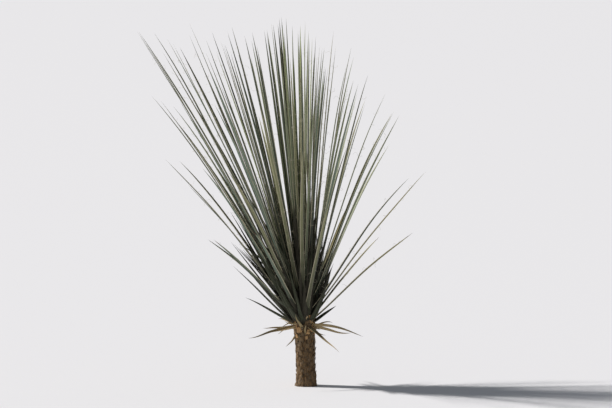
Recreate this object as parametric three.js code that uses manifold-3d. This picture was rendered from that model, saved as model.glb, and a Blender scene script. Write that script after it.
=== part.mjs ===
// A young soaptree yucca rooted in level ground: a slender stem under an upright fan of narrow, stiff leaves.
// Millimetres and degrees, +Z up and -X to the viewer's left.
// The origin is at the middle of the flat cut at ground level.
import * as THREE from "three";
import { mergeVertices } from "three/addons/utils/BufferGeometryUtils.js";
import Module from "manifold-3d";

const wasm = await Module();
wasm.setup();

const GAP = 0.35; // between neighbouring solids
const WELD_DISTANCE = 0.001; // corners this close become one

// The whole plant
const PLANT_HEIGHT = 950; // ground to the highest tips
const CROWN_FOOT = 170; // ground to the root of the lowest green leaf
const CROWN_HEIGHT = 155; // from there to the growing tip, hidden among the leaves
const CROWN_TILT = 4.2; // the crown leans this far to the left

// The stem
const FOOT_RADIUS = 31;
const WAIST_RADIUS = 25.5;
const NECK_RADIUS = 28;
const TIP_RADIUS = 11;
const FOOT_FLARE_HEIGHT = 20;
const STEM_SIDES = 20;
const STEM_RINGS = 11;
const RING_CROWDING = 1.4; // over 1 brings the rings closer together near the ground

// The leaf spiral: values for a young leaf by the tip, a full-grown one half way down, and the oldest
const SPIRAL_SEED = 9475;
const SPIRAL_TURNS = 7;
const SPIRAL_PITCH = 21;
const LEAVES_PER_TURN = [9, 17, 5.9];
const LEAF_LENGTH = [660, 745, 305];
const LONGER_TO_THE_LEFT = [-0.25, 0.15, -0.3]; // share of the length
const LEAF_LEAN = [6, 17.5, 44]; // from the stem's axis, once clear of the stem
const MORE_LEAN_TO_THE_LEFT = [0, 5, -3.5];
const NEST_ANGLE = 15; // a leaf keeps inside those a turn below it that stand this near its azimuth
const NEST_LEAN = 3; // by this much of lean
const ROOT_FLARE = [42, 34, 8]; // added to the lean where a leaf leaves the stem
const LEAF_DROOP = [1, 5, 13]; // added to the lean at the leaf's tip
const FLARE_LENGTH = 26;
const CROWDED_TO_THE_LEFT = 6; // how far a leaf in front or behind is turned towards the left
const CROWDED_TO_BOTH_SIDES = 3; // and one between front and side towards the nearer side
const LONE_LEAF_AGE = 0.86; // older leaves stand one to a piece
const LEAF_PAIR_AGE = 0.6; // younger ones stand in threes

// How far one leaf may differ from the rule, either way; lean and droop by less the younger it is
const AZIMUTH_SPREAD = 0.15; // of the step to the next leaf
const LEAN_SPREAD = 4.5;
const LENGTH_SPREAD = 0.16; // shorter only
const DROOP_SPREAD = 3;
const SWAY_SPREAD = 3.5; // to one side at the tip
const TWIST_SPREAD = 30; // at the tip

// A leaf blade: a shallow channel above and a keel below
const BLADE_WIDTH = 11;
const TIP_SHARPNESS = 2.5; // the higher, the longer a leaf keeps its width
const ROOT_SPREAD = 0.55; // share that the clasping base is wider by
const ROOT_SPREAD_LENGTH = 24;
const ROOT_SINK = 6; // how far a midrib starts inside the stem
const THICKNESS_SHARE = 0.0105; // of the leaf's length
const EDGE_LIFT = 0.18; // of the width: how far the edges stand above the channel
const BLADE_STATIONS = 7;
const STATION_CROWDING = 1.5; // over 1 brings the stations closer together near the root
const MIDRIB_STEPS = 48;

// The heart: the youngest leaves, in a tight upright bundle on a slim bud
const HEART_SEED = 97;
const HEART_LEAVES = 9;
const HEART_LEAN = 5; // of its outermost leaf
const HEART_LENGTH_SPREAD = 0.1;
const HEART_WIDTH = 12;
const BUD_RADIUS = 9;
const BUD_HEIGHT = 95;
const BUD_SHOULDER = 38; // where its side begins to close to a point
const HEART_ROOT = 24; // up the bud
const GOLDEN_ANGLE = 137.508; // from one leaf to the next

// Dry leaves left under the crown: ranges from the least to the most
const DRY_SEED = 2203;
const DRY_LEAVES = 8;
const DRY_HEIGHT = [-22, -14]; // from the crown's foot
const DRY_AZIMUTH_SPREAD = 0.25; // of the step to the next leaf
const DRY_LENGTH = [80, 210];
const DRY_LEAN = [62, 122];
const DRY_DROOP = [-38, 34];
const DRY_SWAY = [-22, 22];
const DRY_TWIST = [-110, 110];
const DRY_WIDTH = 9;
const DRY_THICKNESS = 3.2;

const { degToRad, lerp } = THREE.MathUtils;

const leafGreen = new THREE.MeshStandardMaterial({ color: 0x7d8c67, roughness: 0.55, metalness: 0 });
const heartGreen = new THREE.MeshStandardMaterial({ color: 0x93a077, roughness: 0.5, metalness: 0 });
const dryStraw = new THREE.MeshStandardMaterial({ color: 0xa8926d, roughness: 0.85, metalness: 0 });
const barkBrown = new THREE.MeshStandardMaterial({ color: 0x6f5337, roughness: 0.95, metalness: 0 });

// The same draws in the same order give the same plant each time
function seededDraws(seed) {
  let state = seed;
  return () => {
    state = (state * 48271) % 2147483647;
    return state / 2147483647;
  };
}

function around(draw, spread) {
  return (2 * draw() - 1) * spread;
}

// A value that passes smoothly from young (age 0) through full-grown (0.5) to old (1)
function overAge(age, [young, prime, old]) {
  return young * (1 - age) * (1 - 2 * age) + prime * 4 * age * (1 - age) + old * age * (2 * age - 1);
}

// Height is measured along the stem's axis from the crown's foot, so it is negative on the bare stem
function stemRadius(height) {
  if (height > 0) {
    return lerp(NECK_RADIUS, TIP_RADIUS, height / CROWN_HEIGHT);
  }
  const flare = (FOOT_RADIUS - WAIST_RADIUS) * Math.exp(-(height + CROWN_FOOT) / FOOT_FLARE_HEIGHT);
  const shoulder = (NECK_RADIUS - WAIST_RADIUS) * (1 + height / CROWN_FOOT) ** 2;
  return WAIST_RADIUS + flare + shoulder;
}

// Upright at the ground, the axis bends to the left up to the crown's foot, and is straight from there
function stemAxisX(z) {
  const slope = Math.tan(degToRad(CROWN_TILT));
  return z < CROWN_FOOT ? (-slope * z ** 2) / (2 * CROWN_FOOT) : -slope * (z - CROWN_FOOT / 2);
}

// The stem from its flat foot to its tip, with its side and tip moved out by swell
function stemGeometry(swell) {
  const top = CROWN_FOOT + CROWN_HEIGHT + swell;
  const profile = [new THREE.Vector2(0, 0)];
  for (let ring = 0; ring <= STEM_RINGS; ring++) {
    const z = top * (ring / STEM_RINGS) ** RING_CROWDING;
    profile.push(new THREE.Vector2(stemRadius(z - CROWN_FOOT) + swell, z));
  }
  profile.push(new THREE.Vector2(0, top));
  const geometry = new THREE.LatheGeometry(profile, STEM_SIDES).rotateX(Math.PI / 2);
  const position = geometry.getAttribute("position");
  for (let i = 0; i < position.count; i++) {
    position.setX(i, position.getX(i) + stemAxisX(position.getZ(i)));
  }
  return geometry;
}

function solidOf(geometry) {
  const bare = geometry.clone();
  bare.deleteAttribute("normal");
  bare.deleteAttribute("uv");
  const merged = mergeVertices(bare, WELD_DISTANCE);
  return new wasm.Manifold(
    new wasm.Mesh({
      numProp: 3,
      vertProperties: new Float32Array(merged.getAttribute("position").array),
      triVerts: new Uint32Array(merged.index.array),
    }),
  );
}

function joined(solids) {
  return solids.reduce((whole, solid) => whole.add(solid));
}

function namedMesh(name, solid, material) {
  const { numProp, vertProperties, triVerts } = solid.getMesh();
  const positions = [];
  for (let i = 0; i < vertProperties.length; i += numProp) {
    positions.push(...vertProperties.subarray(i, i + 3));
  }
  const geometry = new THREE.BufferGeometry();
  geometry.setAttribute("position", new THREE.Float32BufferAttribute(positions, 3));
  geometry.setIndex(new THREE.BufferAttribute(triVerts, 1));
  geometry.computeVertexNormals();
  const mesh = new THREE.Mesh(geometry, material);
  mesh.name = name;
  return mesh;
}

// The frames along a leaf: where its midrib is, its side and its upper face
function midrib(leaf) {
  const frames = [];
  const point = leaf.root.clone();
  for (let i = 0; i <= MIDRIB_STEPS; i++) {
    const share = i / MIDRIB_STEPS;
    const flare = leaf.flare * Math.exp(-(share * leaf.length) / FLARE_LENGTH);
    const lean = degToRad(leaf.lean + flare + leaf.droop * share ** 2);
    const azimuth = degToRad(leaf.azimuth + leaf.sway * share ** 2);
    const along = new THREE.Vector3().setFromSphericalCoords(1, lean, 0);
    along.set(along.z * Math.cos(azimuth), along.z * Math.sin(azimuth), along.y);
    const side = new THREE.Vector3(-Math.sin(azimuth), Math.cos(azimuth), 0);
    side.applyAxisAngle(along, degToRad(leaf.twist * share));
    const upper = along.clone().cross(side);
    frames.push({ share, point: point.clone(), side, upper });
    point.addScaledVector(along, leaf.length / MIDRIB_STEPS);
  }
  return frames;
}

// A four-cornered blade from its root to a point
function bladeGeometry(leaf) {
  const frames = midrib(leaf);
  const positions = [];
  for (let station = 0; station < BLADE_STATIONS; station++) {
    const place = (station / BLADE_STATIONS) ** STATION_CROWDING;
    const { share, point, side, upper } = frames[Math.round(MIDRIB_STEPS * place)];
    const taper = 1 - share ** TIP_SHARPNESS;
    const spread = 1 + ROOT_SPREAD * Math.exp((-share * leaf.length) / ROOT_SPREAD_LENGTH);
    const half = (leaf.width * taper * spread) / 2;
    const lift = leaf.width * EDGE_LIFT * taper;
    const edgeChannelEdgeKeel = [[half, lift], [0, 0], [-half, lift], [0, -leaf.thickness * taper]];
    for (const [across, above] of edgeChannelEdgeKeel) {
      const corner = point.clone().addScaledVector(side, across).addScaledVector(upper, above);
      positions.push(...corner.toArray());
    }
  }
  positions.push(...frames[MIDRIB_STEPS].point.toArray());
  const geometry = new THREE.BufferGeometry();
  geometry.setAttribute("position", new THREE.Float32BufferAttribute(positions, 3));
  geometry.setIndex(bladeFaces());
  return geometry;
}

function bladeFaces() {
  const faces = [0, 3, 1, 1, 3, 2];
  const last = 4 * (BLADE_STATIONS - 1);
  for (let ring = 0; ring <= last; ring += 4) {
    for (let corner = 0; corner < 4; corner++) {
      const here = ring + corner;
      const beside = ring + ((corner + 1) % 4);
      if (ring === last) {
        faces.push(here, beside, last + 4);
      } else {
        faces.push(here, beside, beside + 4, here, beside + 4, here + 4);
      }
    }
  }
  return faces;
}

function rootOnStem(azimuth, height) {
  const out = stemRadius(height) - ROOT_SINK;
  const angle = degToRad(azimuth);
  return new THREE.Vector3(out * Math.cos(angle), out * Math.sin(angle), height);
}

// How long a leaf may be before its tip stands higher than the plant
function reach(height, lean, leftness) {
  return (PLANT_HEIGHT - CROWN_FOOT - height) / Math.cos(degToRad(lean + CROWN_TILT * leftness));
}

// Leaves stand closer together at the plant's left, and somewhat at its right, than in front and behind
function crowded(azimuth) {
  const angle = degToRad(azimuth);
  return azimuth + CROWDED_TO_THE_LEFT * Math.sin(angle) - CROWDED_TO_BOTH_SIDES * Math.sin(2 * angle);
}

// No leaf leans out through those a turn below it
function nested(leaves, azimuth, lean) {
  const below = leaves.filter((leaf) => Math.abs(azimuth - 360 - leaf.azimuth) < NEST_ANGLE);
  return Math.min(lean, ...below.map((leaf) => leaf.lean - NEST_LEAN));
}

// Leaves stand round the stem on one rising spiral, so that each has the next a step further round and higher
function growSpiral(draw) {
  const leaves = [];
  let turn = 0;
  while (turn < SPIRAL_TURNS) {
    const age = 1 - turn / (SPIRAL_TURNS + 1);
    const step = 1 / overAge(age, LEAVES_PER_TURN);
    const azimuth = crowded(360 * (turn + around(draw, AZIMUTH_SPREAD * step)));
    const height = SPIRAL_PITCH * turn;
    const leftness = -Math.cos(degToRad(azimuth));
    const leanByRule = overAge(age, LEAF_LEAN) + leftness * overAge(age, MORE_LEAN_TO_THE_LEFT);
    const lean = nested(leaves, azimuth, leanByRule + around(draw, LEAN_SPREAD * age));
    const grown = overAge(age, LEAF_LENGTH) * (1 + leftness * overAge(age, LONGER_TO_THE_LEFT));
    const length = Math.min(grown, reach(height, lean, leftness)) * (1 - LENGTH_SPREAD * draw());
    leaves.push({
      age,
      step: 360 * step,
      azimuth,
      root: rootOnStem(azimuth, height),
      lean,
      length,
      flare: overAge(age, ROOT_FLARE),
      droop: overAge(age, LEAF_DROOP) + around(draw, DROOP_SPREAD * age),
      sway: around(draw, SWAY_SPREAD),
      twist: around(draw, TWIST_SPREAD),
      width: BLADE_WIDTH,
      thickness: THICKNESS_SHARE * length,
    });
    turn += step;
  }
  return leaves;
}

// Neighbours on the spiral that share one piece: one, two or three leaves by their age
function groupsOf(leaves) {
  const groups = [];
  let first = 0;
  while (first < leaves.length) {
    const { age } = leaves[first];
    const size = age > LONE_LEAF_AGE ? 1 : age > LEAF_PAIR_AGE ? 2 : 3;
    const members = leaves.slice(first, first + size);
    const start = midwayTo(leaves[first], leaves[first - 1], -1);
    const end = midwayTo(members.at(-1), leaves[first + size], 1);
    groups.push({ members, start, end });
    first += size;
  }
  return groups;
}

function midwayTo(leaf, neighbour, sign) {
  return neighbour ? (leaf.azimuth + neighbour.azimuth) / 2 : leaf.azimuth + (sign * leaf.step) / 2;
}

// The upright wedge of space round the stem's axis that one group of leaves keeps to
function wedgeSolid({ start, end }) {
  const half = degToRad((end - start) / 2);
  const size = 2 * PLANT_HEIGHT;
  const apex = new THREE.Vector2(GAP / 2 / Math.sin(half), 0);
  const corner = (angle) => new THREE.Vector2(size * Math.cos(angle), size * Math.sin(angle)).add(apex);
  const shape = new THREE.Shape([apex, corner(-half), corner(0), corner(half)]);
  const geometry = new THREE.ExtrudeGeometry(shape, { depth: size, bevelEnabled: false });
  geometry.translate(0, 0, -size / 2).rotateZ(degToRad((end + start) / 2));
  return solidOf(geometry);
}

function spiralMeshes(draw, clearStem) {
  return groupsOf(growSpiral(draw)).map((group, index) => {
    const blades = joined(group.members.map((leaf) => solidOf(bladeGeometry(leaf))));
    const solid = blades.intersect(wedgeSolid(group)).subtract(clearStem);
    const kind = ["lone_leaf", "leaf_pair", "leaf_trio"][group.members.length - 1];
    return namedMesh(`${kind}_${String(index + 1).padStart(2, "0")}`, solid, leafGreen);
  });
}

// The heart's leaves stand out of a slim bud, whose foot is cut to the growing tip
function heartMesh(draw, clearStem) {
  const seat = CROWN_HEIGHT - ROOT_SINK;
  const profile = [
    new THREE.Vector2(0, seat),
    new THREE.Vector2(BUD_RADIUS, seat),
    new THREE.Vector2(BUD_RADIUS, seat + BUD_SHOULDER),
    new THREE.Vector2(0, seat + BUD_HEIGHT),
  ];
  const bud = new THREE.LatheGeometry(profile, STEM_SIDES / 2).rotateX(Math.PI / 2);
  const height = seat + HEART_ROOT;
  const solids = [solidOf(bud)];
  for (let i = 0; i < HEART_LEAVES; i++) {
    const share = i / HEART_LEAVES;
    const azimuth = GOLDEN_ANGLE * i;
    const angle = degToRad(azimuth);
    const out = (BUD_RADIUS / 2) * Math.sqrt(share);
    const length = reach(height, 0, 0) * (1 - HEART_LENGTH_SPREAD * share * draw());
    const leaf = {
      azimuth,
      root: new THREE.Vector3(out * Math.cos(angle), out * Math.sin(angle), height),
      lean: HEART_LEAN * share,
      length,
      flare: 0,
      droop: 0,
      sway: around(draw, SWAY_SPREAD),
      twist: around(draw, TWIST_SPREAD),
      width: HEART_WIDTH,
      thickness: THICKNESS_SHARE * length,
    };
    solids.push(solidOf(bladeGeometry(leaf)));
  }
  return namedMesh("heart_leaves", joined(solids).subtract(clearStem), heartGreen);
}

function dryMeshes(draw, clearStem) {
  const meshes = [];
  for (let i = 0; i < DRY_LEAVES; i++) {
    const azimuth = (360 * (i + 0.5 + around(draw, DRY_AZIMUTH_SPREAD))) / DRY_LEAVES;
    const leaf = {
      azimuth,
      root: rootOnStem(azimuth, lerp(...DRY_HEIGHT, draw())),
      lean: lerp(...DRY_LEAN, draw()),
      length: lerp(...DRY_LENGTH, draw()),
      flare: 0,
      droop: lerp(...DRY_DROOP, draw()),
      sway: lerp(...DRY_SWAY, draw()),
      twist: lerp(...DRY_TWIST, draw()),
      width: DRY_WIDTH,
      thickness: DRY_THICKNESS,
    };
    const blade = solidOf(bladeGeometry(leaf)).subtract(clearStem);
    meshes.push(namedMesh(`dry_leaf_${i + 1}`, blade, dryStraw));
  }
  return meshes;
}

// The crown stands on the stem's axis where that axis has bent to the crown's own tilt
const crown = new THREE.Group();
crown.position.set(stemAxisX(CROWN_FOOT), 0, CROWN_FOOT);
crown.rotation.y = -degToRad(CROWN_TILT);
crown.updateMatrix();
const clearStem = solidOf(stemGeometry(GAP).applyMatrix4(crown.matrix.clone().invert()));
crown.add(...spiralMeshes(seededDraws(SPIRAL_SEED), clearStem));
crown.add(heartMesh(seededDraws(HEART_SEED), clearStem));
crown.add(...dryMeshes(seededDraws(DRY_SEED), clearStem));

const trunk = new THREE.Mesh(stemGeometry(0), barkBrown);
trunk.name = "trunk";

const yucca = new THREE.Group();
yucca.add(trunk, crown);

export default yucca;
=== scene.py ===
# A young soaptree yucca rooted in level ground: a rough, slender stem under an upright fan of
# narrow leaves with pale, threaded edges. Metres and degrees, +Z up and -X to the viewer's left.
# The origin is at the middle of the flat cut at ground level.
import math

import bpy
from mathutils import Matrix, Vector


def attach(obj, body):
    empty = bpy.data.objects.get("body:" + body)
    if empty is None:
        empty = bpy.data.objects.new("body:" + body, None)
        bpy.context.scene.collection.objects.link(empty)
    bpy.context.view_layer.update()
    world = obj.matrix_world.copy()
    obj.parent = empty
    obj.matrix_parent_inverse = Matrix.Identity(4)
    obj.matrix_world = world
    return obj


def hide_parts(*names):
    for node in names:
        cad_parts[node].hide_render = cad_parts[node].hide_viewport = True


# The whole plant
PLANT_HEIGHT = 0.950  # ground to the highest tips
CROWN_FOOT = 0.170  # ground to the root of the lowest green leaf
CROWN_HEIGHT = 0.155  # from there to the growing tip, hidden among the leaves
CROWN_TILT = 4.2  # the crown leans this far to the left

# The stem
FOOT_RADIUS = 0.031
WAIST_RADIUS = 0.0255
NECK_RADIUS = 0.028
TIP_RADIUS = 0.011
FOOT_FLARE_HEIGHT = 0.020

# The leaf spiral: values for a young leaf by the tip, a full-grown one half way down, the oldest
SPIRAL_SEED = 9475
SPIRAL_TURNS = 7
SPIRAL_PITCH = 0.021
LEAVES_PER_TURN = (9, 17, 5.9)
LEAF_LENGTH = (0.660, 0.745, 0.305)
LONGER_TO_THE_LEFT = (-0.25, 0.15, -0.3)  # share of the length
LEAF_LEAN = (6, 17.5, 44)  # from the stem's axis, once clear of the stem
MORE_LEAN_TO_THE_LEFT = (0, 5, -3.5)
NEST_ANGLE = 15  # a leaf keeps inside those a turn below it that stand this near its azimuth
NEST_LEAN = 3  # by this much of lean
ROOT_FLARE = (42, 34, 8)  # added to the lean where a leaf leaves the stem
LEAF_DROOP = (1, 5, 13)  # added to the lean at the leaf's tip
FLARE_LENGTH = 0.026
CROWDED_TO_THE_LEFT = 6  # how far a leaf in front or behind is turned towards the left
CROWDED_TO_BOTH_SIDES = 3  # and one between front and side towards the nearer side

# The green leaves by tier: the youngest's age, the oldest's, how the names of their solids start,
# and how long the painted shade at the base is
TIERS = {
    "outer": (0.86, 1, "lone_leaf", 0.02),
    "middle": (0.6, 0.86, "leaf_pair", 0.03),
    "inner": (0, 0.6, "leaf_trio", 0.04),
}

# How far one leaf may differ from the rule, either way; lean and droop by less the younger it is
AZIMUTH_SPREAD = 0.15  # of the step to the next leaf
LEAN_SPREAD = 4.5
LENGTH_SPREAD = 0.16  # shorter only
DROOP_SPREAD = 3
SWAY_SPREAD = 3.5  # to one side at the tip
TWIST_SPREAD = 30  # at the tip
ROOT_SINK = 0.006  # how far a midrib starts inside the stem
MIDRIB_STEPS = 48

# The heart: the youngest leaves, in a tight upright bundle
HEART_SEED = 97
HEART_LEAVES = 9
HEART_LEAN = 5  # at the outside of the bundle
HEART_LENGTH_SPREAD = 0.1
BUD_RADIUS = 0.009
HEART_ROOT = 0.024  # from the bud's foot, inside the growing tip, up to its leaves' roots
GOLDEN_ANGLE = 137.508  # from each to the next, here, in the stubs, the thatch and the scales

# Dry leaves left under the crown: ranges from the least to the most
DRY_SEED = 2203
DRY_LEAVES = 8
DRY_HEIGHT = (-0.022, -0.014)
DRY_AZIMUTH_SPREAD = 0.25  # of the step to the next leaf
DRY_LENGTH = (0.080, 0.210)
DRY_LEAN = (62, 122)
DRY_DROOP = (-38, 34)
DRY_SWAY = (-22, 22)
DRY_TWIST = (-110, 110)
DRY_WAVE_ANGLE = 8

# Broken ends of dead leaves round the collar
STUB_SEED = 4177
STUBS = 26
STUB_HEIGHT = (-0.045, 0.002)
STUB_LENGTH = (0.014, 0.060)
STUB_LEAN = (25, 140)
STUB_BEND = 45
STUB_WIDTH = 0.0052

# The real leaves are slimmer than the solids that stand for them, with slimmer ones between them
FINE_SEED = 3483
LEAF_WIDTH = (0.0055, 0.0067, 0.0099)
SLIM_WIDTH_SHARE = 0.8
HEART_WIDTH = 0.0078
DRY_WIDTH = 0.0085
WIDTH_SPREAD = 0.16
CLASP_SPREAD = 1.2  # share that a leaf's base is wider by, where it clasps the stem
CLASP_LENGTH = 0.045
TIP_SHARPNESS = 6.0  # the higher, the longer a leaf keeps its width
CHANNEL = 0.2  # of the width: how far the edges stand above the middle
KEEL = 0.22  # of the width: how thick the blade is in the middle
PALE_FROM = 0.9  # of the way from the midrib to the edge
SHARP_FROM = 0.99  # and from here not smoothed over
BASE_LENGTH = 0.03  # of the shaded part at the root
SHORTEST_BASE = 0.4  # of that length, and the longest is a whole length more
GOLDEN_SHARE = 0.618  # of the way between those, from each leaf to the next
SPINE_LENGTH = 0.012
SLIM_SHARE = 0.4  # of the gaps between neighbours at the left and right that hold a slim leaf
SLIM_SIDENESS = 1.5  # the higher, the fewer of them away from the left and right
SLIM_LENGTH = (0.8, 1.0)  # of its shorter neighbour's length
WAVE_ANGLE = 1.6  # how far a leaf swings off its line
YOUNGEST_WAVE = 0.3  # of that angle, and by age up to a whole angle more
WAVES = (0.6, 1.7)  # along a leaf
BLADE_STATIONS = 20
STATION_CROWDING = 1.3  # over 1 brings the stations closer together near the root
SECTION_POINTS = 8
EDGE_CROWDING = 0.45  # under 1 brings the section's points to the edges, for a narrow pale edge
UNDERSIDE = -0.01  # of the round section: its points below this are on the underside
MERGE_DISTANCE = 0.00001

# Short dead leaves between the green ones, which close the crown's foot and darken it
# Their near-black colour is painted shade as well as dead leaf: it darkens the crown's core
THATCH_SEED = 1187
THATCH_LEAVES = 165
THATCH_HEIGHT = (-0.010, 0.115)
THATCH_CROWDING = 2.0  # over 1 brings them closer together near the crown's foot
THATCH_LENGTH = (0.09, 0.30)
THATCH_LONGER_TO_THE_LEFT = 0.2  # share of the length
THATCH_LEAN = (64, 11)  # of the shortest and the longest
THATCH_MORE_LEAN_TO_THE_LEFT = 8
THATCH_LEAN_SPREAD = 5
THATCH_AGE = 0.5
THATCH_FLARE = 14
THATCH_WIDTH = 0.0095
THATCH_SWAY = 9
THATCH_TWIST = 55

# Sizes of a leaf's blade that the heart, the dry leaves and the thatch have their own values for
HEART_BLADES = {"Base Length": 0.04, "Clasp Spread": 0.2}
DRY_BLADES = {"Base Length": 0.0, "Clasp Spread": 0.35, "Channel": 0.6, "Tip Sharpness": 1.8}
THATCH_BLADES = {"Channel": 0.35, "Tip Sharpness": 2.2}

# Leaf colours, dealt out by leaf, and the places on a leaf that have their own
YOUNG_GREEN = "929e6c"
GREY_GREEN = "7c8766"
OLIVE_GREEN = "7f8058"
BLUE_GREEN = "6f8270"
# a darker leaf tone that is also painted shade, dealt most where the crown lies in shadow
DARK_GREEN_AND_SHADE = "3b4732"
YELLOWING = "a09560"
PALE_EDGE = "c9c1a2"
# painted shade where the leaves clasp the stem, in the shadow of the crown's foot
PAINTED_SHADE_BASE = "4b4c38"
BROWN_SPINE = "6b5038"
STRAW = "ac956c"
GREY_STRAW = "8e8068"
# near-black dead leaves, partly painted shade of the crown's dark core
DEAD_LEAF_BROWN_AND_SHADE = "2b281b"
DEAD_LEAF_OLIVE_AND_SHADE = "2d341f"
THREAD_WHITE = "d5ccb4"
SAND_DUST = "cfc6b4"
BARK_BROWNS = ("362614", "7e5e34")  # in the cracks and on the plates
TAN_BASE_BROWNS = ("7a5733", "c09a68")
WORN_BASE_BROWNS = ("392a18", "765b35")

# Share of the green leaves that each colour takes, from the youngest to the oldest; the rest are
# grey green
DARK_GREEN_AND_SHADE_SHARE = (0.36, 0.11)
# painted shade: more deep green leaves at the left, for the crown's shaded streak there
MORE_PAINTED_SHADE_AT_THE_LEFT = 4.5
YOUNG_GREEN_SHARE = (0.3, -0.6)
BLUE_GREEN_SHARE = 0.12
MORE_BLUE_GREEN_AT_THE_LEFT = 0.6
YELLOWING_SHARE = (-1.6, 0.6)
LESS_YELLOWING_AT_THE_LEFT = 0.8
OLIVE_GREEN_SHARE = (0.15, 0.3)
TONES = ("Young Green", "Grey Green", "Olive Green", "Blue Green", "Yellowing", "Dark Green And Shade")

# The skin of a leaf: waves to the metre across it and along it, and to a leaf from one to the next
VEIN_WAVES = (2600.0, 22.0, 7.3)
VEIN_LEVEL = 0.45  # of the noise: what rises over it turns paler
VEIN_DEPTH = 0.0004
PATCH_WAVES = (60.0, 14.0, 11.7)
PATCH_RANGE = (0.3, 0.7)
PATCH_TINT = (0.52, 0.56, 0.5, 1.0)
PATCH_ROUGHNESS = 0.14  # more where a patch is darkest
# Painted shade: the green leaves darken towards the root, where the crown's foot lies in shadow
PAINTED_SHADE_AT_FOOT = 0.92  # on the green leaves
PAINTED_SHADE_REACH = (0.06, 0.36)  # full and none, from the root
PAINTED_SHADE_TINT = (0.145, 0.175, 0.115, 1.0)

# Sand dust: most on what faces up
DUST_WAVES = 40.0
BARK_DUST_WAVES = 90.0
DUST_FACING = (-0.2, 0.9)
DUST_ON_UNDERSIDES = 0.25
DUST_RANGE = (0.35, 0.7)
DUST_ROUGHNESS = 0.4

# The skin of the bark
BARK_GRAIN = 260.0
LEAF_BASE_GRAIN = 420.0
GRAIN_DRAWN_OUT = 0.3  # waves upwards, as a share of those across
GRAIN_SHARE = 0.65  # of the colour, and patches make the rest
PATCH_WIDTH = 6  # times the grain's
GRAIN_RANGE = (0.36, 0.66)
GRAIN_DEPTH = 0.0012
GRAIN_STRENGTH = 0.5
BARK_ROUGHNESS = (0.82, 0.1)  # in the cracks, and more on the plates

# Threads that peel off the leaf edges
THREAD_SPACING = 0.030
THREAD_SHARE = 0.42  # of the places along an edge
THREAD_REACH = 0.42  # of the leaf's length, up and down from its middle
THREAD_START = 0.97  # of the way from the midrib to the edge
THREAD_RADIUS = 0.00019
THREAD_CURL = 0.0032
THREAD_OPENING = (1.6, 0.6)  # of the curl: the radius at the thread's root and at its end
THREAD_ROUNDS = 0.9
THREAD_POINTS = 11
THREAD_SIDES = 3
THREAD_RISE = 0.011
THREAD_SIZE = ((0.5, 0.5, 0.4), (1.2, 1.2, 1.7))  # the smallest and the largest
THREAD_SEED = 5
THREAD_TURN_SEED = 11
THREAD_SIZE_SEED = 12

# The bark's relief
BARK_SIDES = 128
BARK_RING_STEP = 0.0017
HIDDEN_RING_STEP = 0.006
BARK_TOP = 0.020  # above the crown's foot, where the hidden rings start
PLATE_SIZE = 0.011
PLATE_DRAWN_OUT = 0.62  # the smaller, the taller the plates
PLATE_SHAKE = 1.3  # waves to a plate of the noise that makes its outline uneven
CRACK_DEPTH = 0.0016
CRACK_WIDTH = 0.16  # of a plate
FURROW_DEPTH = 0.0022
FURROW_WAVES = 120.0
FURROW_DRAWN_OUT = 0.16
FURROW_SWING = 0.25  # how far the noise that makes the furrows swings to either side
ROUGHNESS_DEPTH = 0.0009
ROUGHNESS_WAVES = 420.0

# The worn leaf bases, thin scales on the bare stem: from the freshest to the most worn
SCALE_SEED = 311
SCALE_ROWS_TOP = 0.012  # above the crown's foot
SCALE_ROWS_FOOT = -0.150
SCALE_STEP = 0.00105  # of height from one leaf base to the next
SCALE_AZIMUTH_SPREAD = 0.12  # in radians
SCALE_SINK = 0.0012
SCALE_WIDTH = 0.017
SCALE_HEIGHT = 0.015
SCALE_THICKNESS = 0.0016
SCALE_POINTS = (6, 2, 4)  # across, through and up it
SCALE_SIZE = (1.15, 0.45)
SCALE_WEAR = 0.6  # under 1 makes the sizes fall early
SCALE_SIZE_SPREAD = 0.25
SCALE_LEAN = (34, 8)
SCALE_FLATTENING = 2.5  # over 1 makes the lean fall early
SCALE_LEAN_SPREAD = 7
WORN_SHARE = (-0.2, 2.0)  # of the scales, under 0 none and over 1 all
SCALE_NARROWING = 0.42  # share of the width lost by its upper edge
SCALE_THINNING = 0.6  # share of the thickness lost there
SCALE_WRAP = 16.0  # bends it round the stem
TEAR_WAVES = 260.0
TEAR_DEPTH = 0.014

# The camera looks slightly down on the plant
CAMERA_DISTANCE = 10
CAMERA_ELEVATION = 5
CAMERA_TARGET = (0.0, 0, 0.468)
CAMERA_LENS = 230  # in millimetres, as is the sensor
CAMERA_SENSOR = 36
CAMERA_CLIP = (1, 400)

# The light: a low sun from the left and a faint, even sky, with a backdrop as pale as the floor
SUN_STRENGTH = 4.4
SUN_AZIMUTH = -104
SUN_ELEVATION = 37
SUN_SOFTNESS = 4
SUN_TINT = (1.0, 0.97, 0.93)
SUN_DISTANCE = 5
SKY_LIGHT = (0.172, 0.184, 0.2, 1.0)
BACKDROP = (0.80, 0.80, 0.83, 1.0)
FLOOR_WHITE = "e9e9ed"
FLOOR_ROUGHNESS = 0.9
FLOOR_RADIUS = 150
FLOOR_SIDES = 96

# The seeded draws: each is the last one times a factor, kept within a range
DRAW_FACTOR = 48271
DRAW_RANGE = 2147483647


def seeded_draws(seed):
    """Draws between 0 and 1, the same in the same order each time."""
    state = seed
    while True:
        state = (state * DRAW_FACTOR) % DRAW_RANGE
        yield state / DRAW_RANGE


def around(draws, spread):
    """A draw to either side of nothing, no further than the spread."""
    return (2 * next(draws) - 1) * spread


def lerp(low, high, share):
    return low + (high - low) * share


def over_age(age, values):
    """A value that passes smoothly from young (age 0) through full-grown (0.5) to old (1)."""
    young, prime, old = values
    most = young * (1 - age) * (1 - 2 * age) + prime * 4 * age * (1 - age)
    return most + old * age * (2 * age - 1)


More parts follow.
